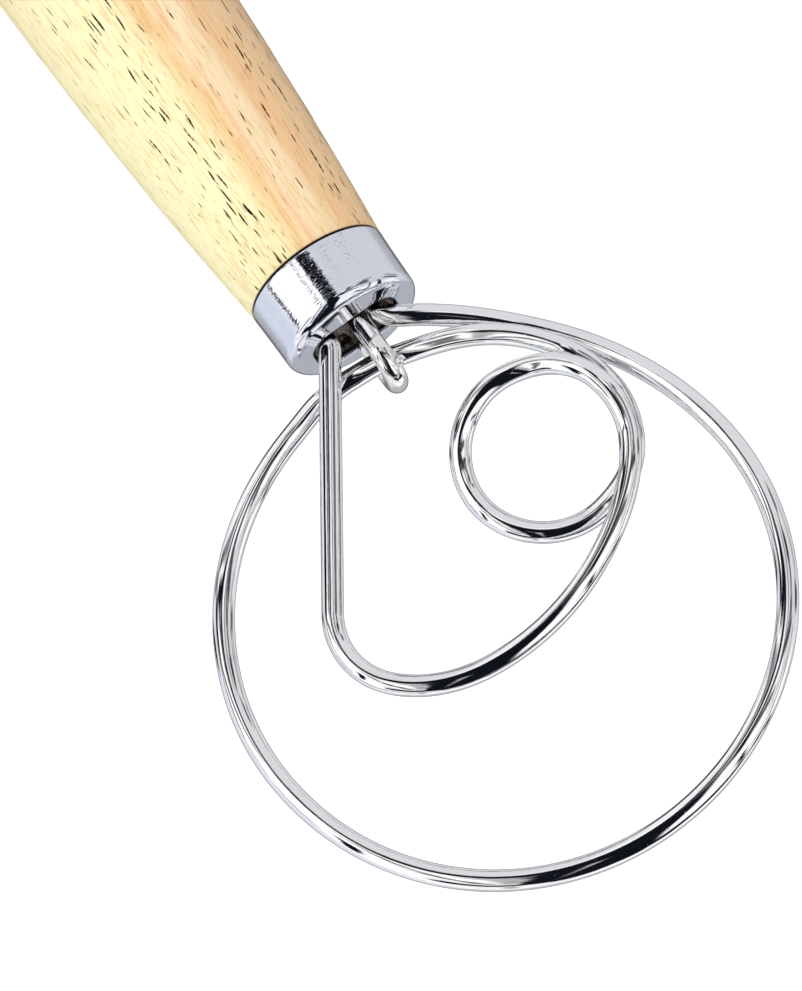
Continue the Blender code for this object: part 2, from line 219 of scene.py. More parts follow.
def leg_b_stretches():
    """Straight side from the last corner, the bend and leg B."""
    lean = math.radians(LEAN_B)
    corner_end = on_oval(CORNER, -180.0 - LEAN_B)
    drop = EXIT_BEND_R * math.tan(lean / 2.0)
    vertex = np.array([LEG_X, corner_end[1] - (corner_end[0] - LEG_X) / math.tan(lean)])
    side_end = vertex + np.array([math.sin(lean), math.cos(lean)]) * drop
    centre = vertex + np.array([EXIT_BEND_R, -drop])
    bend = []
    for i in range(19):
        t = lean * (1.0 - i / 18.0)
        bend.append(centre + EXIT_BEND_R * np.array([-math.cos(t), math.sin(t)]))
    foot = np.array([LEG_X, -LEG_DEPTH])
    return [(line(corner_end, side_end), SIDE_Y), (bend, LEG_B_Y),
            (line(bend[-1], foot), LEG_B_Y)]


def whisk_path():
    """Centre line of the head wire; y eases over each stretch to its end value."""
    points, y_start = [], 0.0
    for plan, y_end in leg_a_stretches() + coil_stretches() + leg_b_stretches():
        plan = np.array(plan)
        run = np.r_[0.0, np.cumsum(np.linalg.norm(np.diff(plan, axis=0), axis=1))]
        for k, (p, s) in enumerate(zip(plan, run)):
            if points and k == 0:
                continue
            y = y_start + (y_end - y_start) * smooth(s / run[-1])
            points.append((p[0], y, p[1]))
        y_start = y_end
    return np.array(points)


def staple_path(wire):
    """Centre line of the staple, a hairpin in the YZ plane over the held wire."""
    mid_x = sum(STAPLE_X) / 2.0
    for a, b in zip(wire, wire[1:]):
        if (a[0] - mid_x) * (b[0] - mid_x) <= 0.0 and HELD_Z[0] < a[2] < HELD_Z[1]:
            held = a + (b - a) * (mid_x - a[0]) / (b[0] - a[0])
    pinch = math.radians(STAPLE_PINCH)
    y_top = STAPLE_R * math.cos(pinch)
    z_top = held[2] - STAPLE_R * math.sin(pinch)
    ease = STAPLE_EASE_R * (1.0 - math.cos(pinch))
    run = (y_top - ease - STAPLE_HALF) / math.sin(pinch)
    z_low = z_top - run * math.cos(pinch)
    z_ease = z_low - STAPLE_EASE_R * math.sin(pinch)
    leg = [(STAPLE_HALF, -STAPLE_DEPTH + (z_ease + STAPLE_DEPTH) * i / 16.0)
           for i in range(17)]
    for i in range(1, 7):
        t = pinch * i / 6.0
        leg.append((STAPLE_HALF + STAPLE_EASE_R * (1.0 - math.cos(t)),
                    z_ease + STAPLE_EASE_R * math.sin(t)))
    bow = []
    for i in range(73):
        t = -pinch + (math.pi + 2.0 * pinch) * i / 72.0
        bow.append((STAPLE_R * math.cos(t), held[2] + STAPLE_R * math.sin(t)))
    points = []
    for y, z in [(-y, z) for y, z in leg + bow] + leg[::-1]:
        share = (y / STAPLE_R + 1.0) / 2.0
        x = STAPLE_X[0] + (STAPLE_X[1] - STAPLE_X[0]) * smooth(share)
        points.append((x, held[1] + y, z))
    return np.array(points)


# -------------------------------------------------------------- mesh tools
def add_object(name, data):
    obj = bpy.data.objects.new(name, data)
    bpy.context.scene.collection.objects.link(obj)
    return obj


def add_mesh(name, verts, faces, material, lay=None, sharp=40.0):
    """Smooth mesh from millimetres; lay is stored per vertex for the materials."""
    mesh = bpy.data.meshes.new(name)
    mesh.from_pydata([tuple(v * MM for v in p) for p in verts], [], faces)
    mesh.validate(verbose=False)
    mesh.shade_smooth()
    mesh.set_sharp_from_angle(angle=math.radians(sharp))
    if lay is not None:
        layer = mesh.attributes.new("lay", "FLOAT_VECTOR", "POINT")
        layer.data.foreach_set("vector", np.asarray(lay, np.float32).ravel())
    mesh.materials.append(material)
    return add_object(name, mesh)


def circle(sides, r):
    return [(r * math.cos(2.0 * math.pi * i / sides),
             r * math.sin(2.0 * math.pi * i / sides)) for i in range(sides)]


def tube_faces(count, sides, wrap=False):
    """Quads between consecutive loops; the ends are capped, or joined by wrap."""
    faces = []
    for r in range(count if wrap else count - 1):
        a, b = r * sides, ((r + 1) % count) * sides
        for i in range(sides):
            j = (i + 1) % sides
            faces.append((a + i, a + j, b + j, b + i))
    if not wrap:
        base = (count - 1) * sides
        faces.append(tuple(reversed(range(sides))))
        faces.append(tuple(base + i for i in range(sides)))
    return faces


def disc_faces(rings, sides):
    """Fan round vertex 0, then quads out from ring to ring."""
    faces = [(0, 1 + i, 1 + (i + 1) % sides) for i in range(sides)]
    for k in range(rings - 1):
        a, b = 1 + k * sides, 1 + (k + 1) * sides
        for i in range(sides):
            j = (i + 1) % sides
            faces.append((a + i, b + i, b + j, a + j))
    return faces


def swept(name, points, radius, sides, material, tip=0.5):
    """Round bar along a centre line, its ends rounded over by tip."""
    pts = np.asarray(points, float)
    tan = np.zeros_like(pts)
    tan[1:-1] = pts[2:] - pts[:-2]
    tan[0], tan[-1] = pts[1] - pts[0], pts[-1] - pts[-2]
    tan /= np.linalg.norm(tan, axis=1)[:, None]
    along = np.r_[0.0, np.cumsum(np.linalg.norm(np.diff(pts, axis=0), axis=1))]
    side = np.cross(tan[0], [0.0, 1.0, 0.0])
    side /= np.linalg.norm(side)
    # station: place, two cross axes carried along without twist, length, radius
    stations = []
    for i in range(len(pts)):
        if i:
            axis = np.cross(tan[i - 1], tan[i])
            size = np.linalg.norm(axis)
            if size > 1e-9:
                axis /= size
                angle = math.atan2(size, float(tan[i - 1] @ tan[i]))
                side = (side * math.cos(angle)
                        + np.cross(axis, side) * math.sin(angle)
                        + axis * (axis @ side) * (1 - math.cos(angle)))
            side = side - tan[i] * (side @ tan[i])
            side /= np.linalg.norm(side)
        stations.append((pts[i], side.copy(), np.cross(tan[i], side), along[i], radius))

    def rounded(k, sign):
        """Stations of a rounded end, inside the bar's own length."""
        p, u, v, s, _ = stations[k]
        reach = sign * tan[k] * tip
        shift = sign * tip
        return [(p + reach * math.sin(a) - reach, u, v, s + shift * math.sin(a) - shift,
                 radius - tip * (1.0 - math.cos(a))) for a in quarter_turn(4, 0)]

    body = [q for q in stations[1:-1] if along[0] + tip < q[3] < along[-1] - tip]
    every = rounded(0, -1.0)[::-1] + body + rounded(len(pts) - 1, 1.0)
    verts, lay = [], []
    for p, u, v, s, r in every:
        for k in range(sides):
            a = 2.0 * math.pi * k / sides
            verts.append(p + (u * math.cos(a) + v * math.sin(a)) * r)
            lay.append((r * math.cos(a), r * math.sin(a), s))
    return add_mesh(name, verts, tube_faces(len(every), sides), material, lay, 60.0)


# ---------------------------------------------------------- shader helpers
def rgba(colour):
    return (*colour, 1.0) if isinstance(colour, tuple) else colour


class Signal:
    """Output of a shader node; arithmetic on it adds math nodes."""

    def __init__(self, graph, socket):
        self.graph = graph
        self.socket = socket

    def __add__(self, other):
        return self.graph.math("ADD", self, other)

    def __radd__(self, other):
        return self.graph.math("ADD", other, self)

    def __sub__(self, other):
        return self.graph.math("SUBTRACT", self, other)

    def __rsub__(self, other):
        return self.graph.math("SUBTRACT", other, self)

    def __mul__(self, other):
        return self.graph.math("MULTIPLY", self, other)

    def __truediv__(self, other):
        return self.graph.math("DIVIDE", self, other)


class Graph:
    """Small helper that writes shader nodes as expressions."""

    def __init__(self, tree):
        self.tree = tree
        self.offset = 0

    def add(self, kind, **props):
        node = self.tree.nodes.new(kind)
        self.offset += 40
        node.location = (self.offset, -(self.offset % 600))
        for key, value in props.items():
            setattr(node, key, value)
        return node

    def feed(self, node, values):
        """Link or set inputs by name or number; None leaves one alone."""
        for key, value in values.items():
            if isinstance(value, Signal):
                self.tree.links.new(value.socket, node.inputs[key])
            elif value is not None:
                node.inputs[key].default_value = value

    def make(self, kind, values, output=0, **props):
        node = self.add(kind, **props)
        self.feed(node, values)
        return Signal(self, node.outputs[output])

    def math(self, op, a, b=None, c=None, clamp=False):
        return self.make("ShaderNodeMath", {0: a, 1: b, 2: c},
                         operation=op, use_clamp=clamp)

    def vec(self, op, a, b=None, scale=None):
        output = "Value" if op in ("DOT_PRODUCT", "LENGTH") else "Vector"
        return self.make("ShaderNodeVectorMath", {0: a, 1: b, "Scale": scale},
                         output, operation=op)

    def combine(self, x, y, z):
        return self.make("ShaderNodeCombineXYZ", {0: x, 1: y, 2: z})

    def split(self, vector):
        node = self.add("ShaderNodeSeparateXYZ")
        self.feed(node, {0: vector})
        return [Signal(self, socket) for socket in node.outputs]

    def place(self, output="Object"):
        return self.make("ShaderNodeTexCoord", {}, output)

    def place_mm(self):
        return self.vec("SCALE", self.place(), scale=1.0 / MM)

    def scaled(self, xyz, by):
        """Vector of three signals, each multiplied by its own factor."""
        return self.combine(*[value * factor for value, factor in zip(xyz, by)])

    def noise(self, vector, scale=1.0, detail=3.0, rough=0.5, output="Fac"):
        return self.make("ShaderNodeTexNoise", {
            "Vector": vector, "Scale": scale, "Detail": detail, "Roughness": rough}, output)

    def swing(self, noise, width):
        """Noise centred on zero and widened."""
        return (noise - 0.5) * width

    def cells(self, vector):
        """Distance to the nearest cell centre, and a random colour per cell."""
        node = self.add("ShaderNodeTexVoronoi")
        self.feed(node, {"Vector": vector, "Scale": 1.0})
        return Signal(self, node.outputs["Distance"]), Signal(self, node.outputs["Color"])

    def long_cells(self, xyz, width, length, shift=None):
        """Cells stretched along z, the pattern shifted down by shift."""
        x, y, z = xyz
        return self.cells(self.combine(x / width, y / width,
                                       (z + shift if shift else z) / length))

    def step(self, value, start, end, low=0.0, high=1.0):
        """Smooth step from low at start to high at end."""
        return self.make("ShaderNodeMapRange", {0: value, 1: start, 2: end, 3: low, 4: high},
                         interpolation_type="SMOOTHSTEP")

    def ramp(self, fac, stops):
        node = self.add("ShaderNodeValToRGB")
        items = node.color_ramp.elements
        while len(items) > 1:
            items.remove(items[-1])
        items[0].position = stops[0][0]
        items[0].color = rgba(stops[0][1])
        for position, colour in stops[1:]:
            items.new(position).color = rgba(colour)
        self.feed(node, {0: fac})
        return Signal(self, node.outputs[0])

    def mix(self, fac, a, b, mode="MIX"):
        return self.make("ShaderNodeMix", {0: fac, 6: rgba(a), 7: rgba(b)}, 2,
                         data_type="RGBA", blend_type=mode)

    def bump(self, height, distance, strength=0.8, normal=None):
        return self.make("ShaderNodeBump", {"Height": height, "Distance": distance,
                                            "Strength": strength, "Normal": normal})


def new_material(name):
    mat = bpy.data.materials.new(name)
    mat.use_nodes = True
    return mat, Graph(mat.node_tree), mat.node_tree.nodes["Principled BSDF"]


# -------------------------------------------------------------------- wood
# Colours across the plank: share of its width from -x to +x, colour. The stripes in the
# middle are growth layers; the darker tan towards -x is painted shade on the side turned
# from the lamps, and the even cream towards +x is painted light on the lit side.
PLANK_HALF = 17.0
PLANK_WITH_SIDE_SHADING = (
    (0.00, (0.60, 0.40, 0.21)), (0.12, (0.70, 0.47, 0.25)),
    (0.20, (0.82, 0.56, 0.30)), (0.26, (0.87, 0.54, 0.28)),
    (0.31, (0.91, 0.69, 0.42)), (0.36, (0.94, 0.74, 0.46)),
    (0.40, (0.89, 0.55, 0.29)), (0.44, (0.93, 0.69, 0.40)),
    (0.47, (0.89, 0.58, 0.27)), (0.52, (0.93, 0.78, 0.44)),
    (0.57, (0.97, 0.90, 0.54)), (0.72, (0.98, 0.93, 0.56)),
    (0.86, (0.98, 0.92, 0.55)), (1.00, (0.96, 0.86, 0.50)),
)
TAN_CLOUD = (0.84, 0.60, 0.28)
CREAM_CLOUD = (0.98, 0.92, 0.62)
FIBRE_TINT = (0.78, 0.56, 0.26)
HAIR_TAN = (0.72, 0.50, 0.24)
FLECK_TAN = (0.76, 0.50, 0.22)
DUST_BROWN = (0.55, 0.33, 0.13)
HALO_BROWN = (0.66, 0.38, 0.15)
PORE_BLACK = (0.014, 0.009, 0.006)
# near black of the painted shade in the bore and on the shoulder under the cap
GRIME_TINT = (0.62, 0.42, 0.24)
PAINTED_SHADE_BLACK = (0.020, 0.012, 0.008)
WOOD_TONE = (0.96, 0.955, 0.95)
LAYER_LEAN = -0.022      # slope of the growth layers against the stick
LEAN_PIVOT_Z = 200.0


def plank_layers(g, xyz):
    """Distance across the plank in mm, wandering along the stick, and its colour: growth
    layers, with painted light on the +x side and painted shade on the -x side.
    """
    x, y, z = xyz
    slow = g.noise(g.scaled(xyz, by=(0.06, 0.06, 0.016)), detail=2.0)
    wander = g.swing(slow, width=5.0)
    lean = (z - LEAN_PIVOT_Z) * LAYER_LEAN
    across = x + wander + lean
    layers = g.noise(g.scaled((across, y, z), by=(0.32, 0.03, 0.010)), rough=0.55)
    shifted = across + g.swing(layers, width=6.5)
    share = g.math("DIVIDE", shifted + PLANK_HALF, 2.0 * PLANK_HALF, clamp=True)
    return across, g.ramp(share, PLANK_WITH_SIDE_SHADING)


def vessels(g, xyz, across):
    """Open vessels, the halo round them and fine dust, each from 0 to 1."""
    x, y, z = xyz
    # dense in two layers of the plank, sparse elsewhere
    inner_band = (g.step(across, start=-0.5, end=3.0)
                  * g.step(across, start=9.5, end=6.0))
    outer_band = g.step(across, start=-6.6, end=-9.0)
    crowd = g.math("MAXIMUM", inner_band, outer_band)
    clump = g.noise(g.scaled(xyz, by=(0.30, 0.30, 0.075)), detail=1.0)
    sparse, added = 0.60, 0.52
    crowd = (crowd * added + sparse) * g.step(clump, start=0.38, end=0.58, low=0.50)
    sway = g.swing(g.noise(g.scaled(xyz, by=(0.5, 0.5, 0.20)), detail=1.0), width=0.9)
    distance, colour = g.long_cells((x + sway, y, z), width=0.54, length=8.5)
    # vessel radius as a share of its cell: the least, and a random part
    least, varied = 0.135, 0.20
    reach = crowd * (g.split(colour)[0] * varied + least)
    pore = g.step(reach - distance, start=-0.006, end=0.024)
    # vessels break off along their length
    broken = g.noise(g.scaled(xyz, by=(0.8, 0.8, 1.6)), detail=1.0)
    pore = pore * g.step(broken, start=0.30, end=0.46, low=0.25)
    dust_distance, _ = g.long_cells(xyz, width=0.55, length=5.2, shift=3.0)
    dust_reach = 0.21
    dust = g.step(crowd * dust_reach - dust_distance, start=-0.03, end=0.06)
    halo = g.step(reach - distance, start=-0.10, end=0.02)
    return pore, halo, dust


def wood():
    mat, g, shader = new_material("turned_rubberwood")
    p = g.place_mm()
    xyz = x, y, z = g.split(p)
    across, body = plank_layers(g, xyz)
    # soft cloudy patches, tan and cream
    cloud = g.noise(g.scaled(xyz, by=(0.16, 0.16, 0.045)), rough=0.6)
    body = g.mix(g.step(cloud, start=0.54, end=0.74, high=0.45), body, TAN_CLOUD)
    body = g.mix(g.step(cloud, start=0.46, end=0.28, high=0.40), body, CREAM_CLOUD)
    # long fibres, coarse and fine
    layer_xyz = (across, y, z)
    fibre = g.noise(g.scaled(layer_xyz, by=(3.0, 3.0, 0.10)), detail=4.0, rough=0.6)
    hair = g.noise(g.scaled(layer_xyz, by=(9.0, 9.0, 0.22)), detail=2.0)
    body = g.mix(g.step(fibre, start=0.50, end=0.68, high=0.55), body, FIBRE_TINT,
                 "MULTIPLY")
    body = g.mix(g.step(hair, start=0.54, end=0.70, high=0.45), body, HAIR_TAN)
    # short tan flecks where a vessel runs just under the surface
    distance, colour = g.long_cells(xyz, width=0.9, length=11.0, shift=1.0)
    fleck_reach, fleck_share = 0.36, 0.42
    hidden = g.step(g.split(colour)[1] * fleck_reach - distance, start=-0.04, end=0.06)
    body = g.mix(hidden * fleck_share, body, FLECK_TAN)
    pore, halo, dust = vessels(g, xyz, across)
    dust_share, halo_share = 0.50, 0.30
    body = g.mix(dust * dust_share, body, DUST_BROWN)
    body = g.mix(halo * halo_share, body, HALO_BROWN)
    body = g.mix(pore, body, PORE_BLACK)
    # faint broad patches of grime
    grime = g.noise(p, scale=0.035, rough=0.6)
    body = g.mix(g.step(grime, start=0.55, end=0.80, high=0.16), body, GRIME_TINT,
                 "MULTIPLY")
    # painted shade: the bore and the shoulder just under the cap are darkened almost to
    # black, where shadow falls
    radius = g.math("SQRT", x * x + y * y)
    in_bore = (g.step(radius, start=BORE_R + 0.6, end=BORE_R + 0.2)
               * g.step(z, start=150.0, end=160.0))
    painted_shade = g.math("MAXIMUM", in_bore,
                   g.step(z, start=HANDLE_LEN - 0.20, end=HANDLE_LEN - 0.02))
    body = g.mix(painted_shade, body, PAINTED_SHADE_BLACK)
    # relief: fibres stand up slightly, vessels are sunk in
    normal = g.bump(fibre * 0.30 + hair * 0.18, distance=0.00006, strength=0.9)
    sunk = 1.0 - g.math("MAXIMUM", pore, dust * 0.4)
    # an open vessel is rougher, and loses its gloss and coat
    g.feed(shader, {
        "Base Color": g.mix(1.0, body, WOOD_TONE, "MULTIPLY"),
        "Roughness": grime * 0.16 + fibre * 0.18 + 0.24 + pore * 0.30,
        "Specular IOR Level": 0.42 - pore * 0.40,
        "Coat Weight": 0.12 - pore * 0.12,
        "Coat Roughness": 0.28,
        "Normal": g.bump(sunk, distance=0.00022, normal=normal),
    })
    return mat


# ------------------------------------------------------------------- metal
# Texture scales along the three lay coordinates for the worked lines, the broad
# clouds and the pits. On drawn wire the coordinates are the place in the section and
# the length along it; on the turned cap the cosine and sine round it and the length
# along its profile.
DRAWN_SCALES = ((7.0, 7.0, 0.12), (0.5, 0.5, 0.11), (1.6, 1.6, 0.8))
TURNED_SCALES = ((13.0, 13.0, 3.4), (1.4, 1.4, 0.20), (9.0, 9.0, 1.5))
LINE_SHADE = 0.84
CLOUD_SHADE = (0.93, 0.90, 0.86)
PIT_GREY = (0.20, 0.19, 0.18)
LINE_RELIEF = 0.000005   # metres, with speck 0
SPECK_RELIEF = 0.000023  # metres added at speck 1
ROLL_FADE = 0.0003       # half height in metres over which the roll is smoothed


def bright_metal(name, tint, rough, drawn, speck=0.0):
    """Bright steel; speck deepens the worked lines."""
    mat, g, shader = new_material(name)
    lay = g.split(g.make("ShaderNodeAttribute", {}, "Vector", attribute_name="lay"))
    line_place, wide_place, pit_place = [
        g.scaled(lay, by) for by in (DRAWN_SCALES if drawn else TURNED_SCALES)]
    lines = g.noise(line_place, detail=4.0 if drawn else 1.0, rough=0.62)
    wide = g.noise(wide_place, rough=0.55)
    pit = g.step(g.cells(pit_place)[0], start=0.10, end=0.03)
    colour = g.mix(g.step(lines, start=0.35, end=0.75, high=0.35), tint,
                   tuple(c * LINE_SHADE for c in tint))
    colour = g.mix(g.step(wide, start=0.50, end=0.75, high=0.25), colour,
                   tuple(c * shade for c, shade in zip(tint, CLOUD_SHADE)))
    pit_share = 0.45
    colour = g.mix(pit * pit_share, colour, PIT_GREY)
    # roughness added by lines, clouds and pits
    total_rough = (rough + g.step(lines, start=0.45, end=0.80) * 0.04
                   + g.step(wide, start=0.45, end=0.80) * 0.03 + pit * 0.20)
    raised = lines - 0.5
    if not drawn:
        # the turned skirt keeps its fine rings, the roll is buffed smooth
        height = g.split(g.place())[2]
        roll = (PLATE_Z - ROLL_R) * MM
        raised = raised * g.step(height, start=roll + ROLL_FADE, end=roll - ROLL_FADE,
                                 low=0.2)
    normal = g.bump(raised, distance=LINE_RELIEF + SPECK_RELIEF * speck)
    normal = g.bump(wide, distance=0.00002, strength=0.5, normal=normal)
    normal = g.bump(1.0 - pit, distance=0.00001, strength=0.5, normal=normal)
    g.feed(shader, {"Base Color": colour, "Metallic": 1.0, "Roughness": total_rough,
                    "Normal": normal})
    return mat


# ------------------------------------------------------------------- resin
RESIN_CLOUDS = ((0.30, (0.006, 0.003, 0.002)), (0.54, (0.018, 0.008, 0.004)),
                (0.74, (0.070, 0.030, 0.012)))
# amber of the painted glints on the resin
AMBER_GLINT = (0.60, 0.22, 0.06)
SPOT_SCALE = 1.7         # amber spots per millimetre


def resin():
    mat, g, shader = new_material("potting_fill")
    p = g.place_mm()
    cloud = g.noise(p, scale=0.55, detail=4.0, rough=0.65)
    grain = g.noise(p, scale=2.6, rough=0.6)
    distance, random_colour = g.cells(g.vec("MULTIPLY", p, (SPOT_SCALE,) * 3))
    colour = g.ramp(cloud, RESIN_CLOUDS)
    # painted highlights: the cells with a high random tone get amber spots that stand for
    # glints of light on the resin
    tone = g.split(random_colour)[1]
    lit = g.step(distance, start=0.42, end=0.22) * g.step(tone, start=0.62, end=0.80)
    amber_share, spot_height = 0.85, 0.6
    colour = g.mix(lit * amber_share, colour, AMBER_GLINT)
    least_rough, grain_rough = 0.10, 0.30
    rough = least_rough + grain * grain_rough
    normal = g.bump(cloud, distance=0.00035)
    normal = g.bump(grain + lit * spot_height, distance=0.00012, normal=normal)
    g.feed(shader, {"Base Color": colour, "Roughness": rough, "Coat Weight": 0.6,
                    "Coat Roughness": 0.08, "Normal": normal})
    return mat


WOOD = wood()
CAP = bright_metal("polished_cap", tint=(0.79, 0.81, 0.87), rough=0.035, drawn=False,
                   speck=1.0)
WIRE = bright_metal("bright_drawn_wire", tint=(0.92, 0.92, 0.925), rough=0.02, drawn=True)
CLIP = bright_metal("bright_staple_wire", tint=(0.90, 0.89, 0.87), rough=0.06, drawn=True,
                    speck=0.1)
FILL = resin()


# ----------------------------------------------------------------- handle
def grip_radius(below):
    """Radius of the handle at a distance below the neck."""
    if below <= GRIP_AT:
        return GRIP_R - (GRIP_R - NECK_R) * (1.0 - below / GRIP_AT) ** 2
    span = HANDLE_LEN - BUTT_ROUND - GRIP_AT
    return GRIP_R - (GRIP_R - TAIL_R) * smooth((below - GRIP_AT) / span)


def handle_profile():
    """Radius and height from the centre of the butt to the floor of the bore."""
    profile = [(r, 0.0) for r in (0.6, 2.0, 4.0, BUTT_FLAT_R - 0.5)]
    profile += [(BUTT_FLAT_R + (TAIL_R - BUTT_FLAT_R) * math.sin(a),
                 BUTT_ROUND * (1.0 - math.cos(a))) for a in quarter_turn(24, 0)]
    span = HANDLE_LEN - SHOULDER_EASE - BUTT_ROUND
    for i in range(1, 141):
        z = BUTT_ROUND + span * i / 140.0
        profile.append((grip_radius(HANDLE_LEN - z), z))
    profile += [(NECK_R - SHOULDER_EASE + SHOULDER_EASE * math.cos(a),
                 HANDLE_LEN - SHOULDER_EASE + SHOULDER_EASE * math.sin(a))
                for a in quarter_turn(6)]
    # tenon that carries the cap, its foot very slightly eased
    profile += [(TENON_R + 0.05, HANDLE_LEN), (TENON_R, HANDLE_LEN + 0.05)]
    tenon_rise = TENON_FACE - TENON_CHAMFER - HANDLE_LEN
    profile += [(TENON_R, HANDLE_LEN + tenon_rise * i / 6.0) for i in range(1, 7)]
    # tenon face, bore and its floor
    bore_top = TENON_FACE - BORE_EASE
    profile += [(TENON_R - TENON_CHAMFER, TENON_FACE), (BORE_R + BORE_EASE, TENON_FACE),
                (BORE_R, bore_top)]
    profile += [(BORE_R, bore_top - (BORE_DEPTH - BORE_EASE) * i / 8.0)
                for i in range(1, 9)]
    return profile + [(BORE_R * 0.5, BORE_FLOOR), (0.6, BORE_FLOOR)]


def make_handle(sides=192):
    profile = handle_profile()
    verts = []
    for r, z in profile:
        # out of round only between the butt and the neck
        free = smooth(min(1.0, max(0.0, (HANDLE_LEN - 1.0 - z) / 25.0)))
        free *= smooth(min(1.0, max(0.0, (z - 1.0) / 12.0)))
        for i in range(sides):
            a = 2.0 * math.pi * i / sides
            # in mm: a twisting oval, a twisting three-lobed wave, ripples along z
            off = free * (0.045 * math.sin(2.0 * a + 0.035 * z)
                          + 0.025 * math.sin(3.0 * a - 0.06 * z + 1.0)
                          + 0.020 * math.sin(0.55 * z + 0.8 * math.sin(a)))
            worn = r + off if z > 0.0 and r > 5.0 else r
            verts.append((worn * math.cos(a), worn * math.sin(a), z))
    return add_mesh("handle_turned", verts, tube_faces(len(profile), sides), WOOD,
                    sharp=38.0)


# ---------------------------------------------------------------- ferrule
def mouth_distance(x, y):
    """Signed distance to the outline of the mouth, a rounded rectangle."""
    qx = abs(x) - (MOUTH_HALF_X - MOUTH_CORNER)
    qy = abs(y - MOUTH_Y) - (MOUTH_HALF_Y - MOUTH_CORNER)
    return (math.hypot(max(qx, 0.0), max(qy, 0.0)) - MOUTH_CORNER
            + min(max(qx, qy), 0.0))


def mouth_loop(sides, growth):
    """Outline of the mouth grown outwards, one point per direction, by halving."""
    out = []
    for i in range(sides):
        a = 2.0 * math.pi * i / sides
        low, high = 0.0, 14.0
        for _ in range(40):
            mid = (low + high) / 2.0
            if mouth_distance(mid * math.cos(a), MOUTH_Y + mid * math.sin(a)) < growth:
                low = mid
            else:
                high = mid
        out.append((low * math.cos(a), MOUTH_Y + low * math.sin(a)))
    return out


def ferrule_loops(sides):
    """Closed loops and heights, up the inside and back over the outside."""
    skirt_z = HANDLE_LEN + GAP
    edge_z = skirt_z + EDGE_HEIGHT
    roll_z = PLATE_Z - ROLL_R
    inner = ROLL_R - FERRULE_WALL
    flat_r = FERRULE_TOP_R - ROLL_R
    under = PLATE_Z - FERRULE_WALL
    loops = [(mouth_loop(sides, growth), under - depth)
             for growth, depth in MOUTH_UNDER_RIM]

    def ring(r, z):
        loops.append((circle(sides, r), z))

    # underside of the plate, inner roll and inner skirt
    ring(flat_r - 0.2, under)
    for a in reversed(quarter_turn(8, 0)):
        ring(flat_r + inner * math.cos(a), roll_z + inner * math.sin(a))
    inner_low_r = FERRULE_R - FERRULE_WALL
    for i in range(1, 7):
        t = i / 6.0
        ring(flat_r + inner + (inner_low_r - flat_r - inner) * t,
             roll_z + (edge_z - roll_z) * t)
    # rounded free edge of the skirt
    half_wall = FERRULE_WALL / 2.0
    for i in range(1, 12):
        a = math.pi + math.pi * i / 12.0
        ring(FERRULE_R - half_wall + half_wall * math.cos(a),
             edge_z + EDGE_HEIGHT * math.sin(a))
    # outer skirt, very slightly waisted
    for i in range(31):
        t = i / 30
        ring(FERRULE_R + (FERRULE_TOP_R - FERRULE_R) * t
             - FERRULE_WAIST * math.sin(math.pi * t),
             edge_z + (roll_z - skirt_z - EDGE_HEIGHT) * t)
    # rolled edge
    for a in quarter_turn(24):
        ring(flat_r + ROLL_R * math.cos(a), roll_z + ROLL_R * math.sin(a))
    # end plate in to the mouth, whose rim is broken over inwards
    plate_edge = circle(sides, flat_r)
    rim = mouth_loop(sides, MOUTH_TOP_RIM[0][0])
    for i in range(1, 4):
        t = i / 4.0
        loops.append(([(p[0] * (1 - t) + q[0] * t, p[1] * (1 - t) + q[1] * t)
                       for p, q in zip(plate_edge, rim)], PLATE_Z))
    return loops + [(mouth_loop(sides, growth), PLATE_Z - depth)
                    for growth, depth in MOUTH_TOP_RIM]


def make_ferrule(sides=224):
    loops = ferrule_loops(sides)
    verts, lay = [], []
    run = 0.0
    last = None
    for points, z in loops:
        here = np.array([math.hypot(*points[0]), z])
        if last is not None:
            run += float(np.linalg.norm(here - last))
        last = here
        for x, y in points:
            a = math.atan2(y, x)
            verts.append((x, y, z))
            lay.append((math.cos(a), math.sin(a), run))
    return add_mesh("ferrule_cap", verts, tube_faces(len(loops), sides, wrap=True),
                    CAP, lay, 50.0)


# ---------------------------------------------------------------- potting
POT_RECESS = 2.0         # level of the fill below the end plate
POT_SINK = 0.35          # further sink of the open surface
PIN_CLIMB = (0.9, 0.55)  # height and reach of the fill climbing the wires
WALL_CLIMB = (1.1, 0.6)  # the same up the bore wall
MOST_CLIMB = 1.2


def make_potting(pins, sides=144, rings=44, wall_steps=12):
    """Fill of the bore round the wires, whose centres are the pins."""
    outer_r = BORE_R - GAP
    floor_z = BORE_FLOOR + GAP
    surface = [(0.0, 0.0)]
    for k in range(1, rings + 1):
        surface += circle(sides, outer_r * k / rings)
    verts = []
    for x, y in surface:
        near = min(math.hypot(x - a, y - b) for a, b in pins) - WIRE_D / 2.0
        climb = PIN_CLIMB[0] * math.exp(-max(near, 0.0) / PIN_CLIMB[1])
        wall = WALL_CLIMB[0] * math.exp(-(outer_r - math.hypot(x, y)) / WALL_CLIMB[1])
        # broad and fine ripples of the surface, in mm
        ripple = 0.10 * math.sin(1.7 * x + 0.6) * math.sin(2.1 * y - 0.4)
        ripple += 0.05 * math.sin(4.3 * x - 2.9 * y)
        verts.append((x, y, PLATE_Z - POT_RECESS - POT_SINK
                      + min(MOST_CLIMB, climb + wall) + ripple))
    edge = verts[-sides:]
    for k in range(1, wall_steps + 1):
        t = k / wall_steps
        verts += [(x, y, z * (1 - t) + floor_z * t) for x, y, z in edge]
    faces = disc_faces(rings + wall_steps, sides)
    faces.append(tuple(reversed(range(len(verts) - sides, len(verts)))))
    return add_mesh("potting_fill", verts, faces, FILL, sharp=60.0)


lift = np.array([0.0, 0.0, PLATE_Z])
wire = whisk_path()
staple = staple_path(wire)
pins = [(foot[0], foot[1]) for foot in (wire[0], wire[-1], staple[0], staple[-1])]

